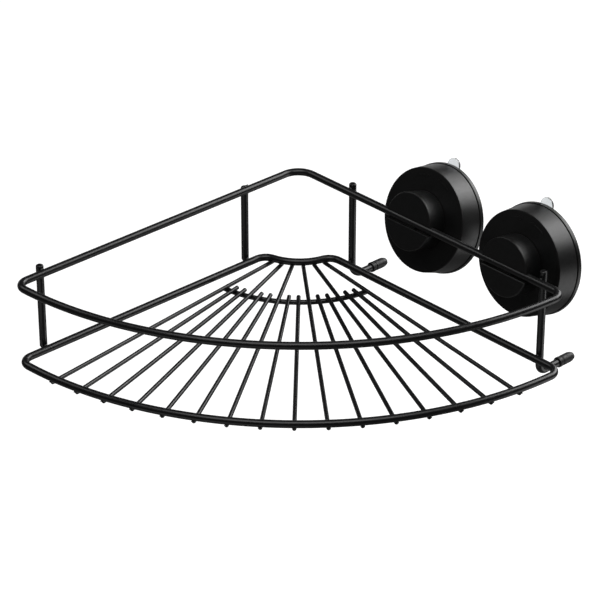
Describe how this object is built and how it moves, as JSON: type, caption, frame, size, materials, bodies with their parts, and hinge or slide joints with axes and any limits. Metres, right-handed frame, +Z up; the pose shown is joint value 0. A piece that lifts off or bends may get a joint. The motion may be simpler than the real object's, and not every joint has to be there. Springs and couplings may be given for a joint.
{
  "type": "corner shower caddy",
  "caption": "Quarter-round wire basket for a shower corner, with fanned floor wires, rubber bumpers and twist-lock suction cups that slide and swivel on the top rail.",
  "frame": {"origin": "the top rail's wire centreline, at the middle of its back corner bend", "axes": "+X to the right leg's side, +Y towards the room's corner, +Z up; the two legs run at 45 degrees to -Y"},
  "size_m": [0.3652, 0.2487, 0.1103],
  "materials": {
    "black_coat": "satin",
    "black_plastic": "satin",
    "base_plastic": "satin",
    "clip_nylon": "matte",
    "white_nylon": "satin",
    "pin_steel": "satin",
    "bumper_rubber": "matte",
    "clear_pad": "glossy"
  },
  "bodies": {
    "rack": {"top_rail": "black_coat", "bottom_ring": "black_coat", "left_back_post": "black_coat", "left_front_post": "black_coat", "right_back_post": "black_coat", "right_front_post": "black_coat", "back_bumper": "bumper_rubber", "front_bumper": "bumper_rubber", "crossbar": "black_coat", "floor_wire_01": "black_coat", "floor_wire_02": "black_coat", "floor_wire_03": "black_coat", "floor_wire_04": "black_coat", "floor_wire_05": "black_coat", "floor_wire_06": "black_coat", "floor_wire_07": "black_coat", "floor_wire_08": "black_coat", "floor_wire_09": "black_coat", "floor_wire_10": "black_coat", "floor_wire_11": "black_coat", "floor_wire_12": "black_coat", "floor_wire_13": "black_coat", "floor_wire_14": "black_coat", "floor_wire_15": "black_coat", "floor_wire_16": "black_coat"},
    "clip_1": {"rail_clip_1": "clip_nylon"},
    "cup_1": {"knob_1": "black_plastic", "base_cup_1": "base_plastic", "pad_disc_1": "clear_pad"},
    "dial_1": {"lock_dial_1": "black_plastic"},
    "stem_1": {"pull_stem_1": "white_nylon", "cross_pin_1": "pin_steel", "pad_boss_1": "clear_pad"},
    "clip_2": {"rail_clip_2": "clip_nylon"},
    "cup_2": {"knob_2": "black_plastic", "base_cup_2": "base_plastic", "pad_disc_2": "clear_pad"},
    "dial_2": {"lock_dial_2": "black_plastic"},
    "stem_2": {"pull_stem_2": "white_nylon", "cross_pin_2": "pin_steel", "pad_boss_2": "clear_pad"}
  },
  "joints": [
    {"name": "cup_1_slide", "type": "slide", "parent": "rack", "child": "clip_1", "axis": [0.7071, -0.7071, 0], "range_m": [-0.015, 0.005]},
    {"name": "cup_1_swivel", "type": "hinge", "parent": "clip_1", "child": "cup_1", "pos_m": [0.07764, -0.07209, 0], "axis": [0.7071, -0.7071, 0], "range_deg": [-3, 25]},
    {"name": "dial_1_twist", "type": "hinge", "parent": "cup_1", "child": "dial_1", "pos_m": [0.08625, -0.06348, -0.00326], "axis": [0.683, 0.683, -0.2588], "range_deg": [0, 60]},
    {"name": "stem_1_draw", "type": "slide", "parent": "cup_1", "child": "stem_1", "axis": [-0.683, -0.683, 0.2588], "range_m": [0, 0.0025]},
    {"name": "cup_2_slide", "type": "slide", "parent": "rack", "child": "clip_2", "axis": [0.7071, -0.7071, 0], "range_m": [-0.005, 0.002]},
    {"name": "cup_2_swivel", "type": "hinge", "parent": "clip_2", "child": "cup_2", "pos_m": [0.14015, -0.1346, 0], "axis": [0.7071, -0.7071, 0], "range_deg": [0, 18]},
    {"name": "dial_2_twist", "type": "hinge", "parent": "cup_2", "child": "dial_2", "pos_m": [0.14895, -0.1258, -0.00197], "axis": [0.6984, 0.6984, -0.1564], "range_deg": [0, 60]},
    {"name": "stem_2_draw", "type": "slide", "parent": "cup_2", "child": "stem_2", "axis": [-0.6984, -0.6984, 0.1564], "range_m": [0, 0.0025]}
  ],
  "couplings": [
    {"joint": "stem_1_draw", "follows": "dial_1_twist", "m_per_rad": 0.0022918},
    {"joint": "stem_2_draw", "follows": "dial_2_twist", "m_per_rad": 0.0022918}
  ]
}
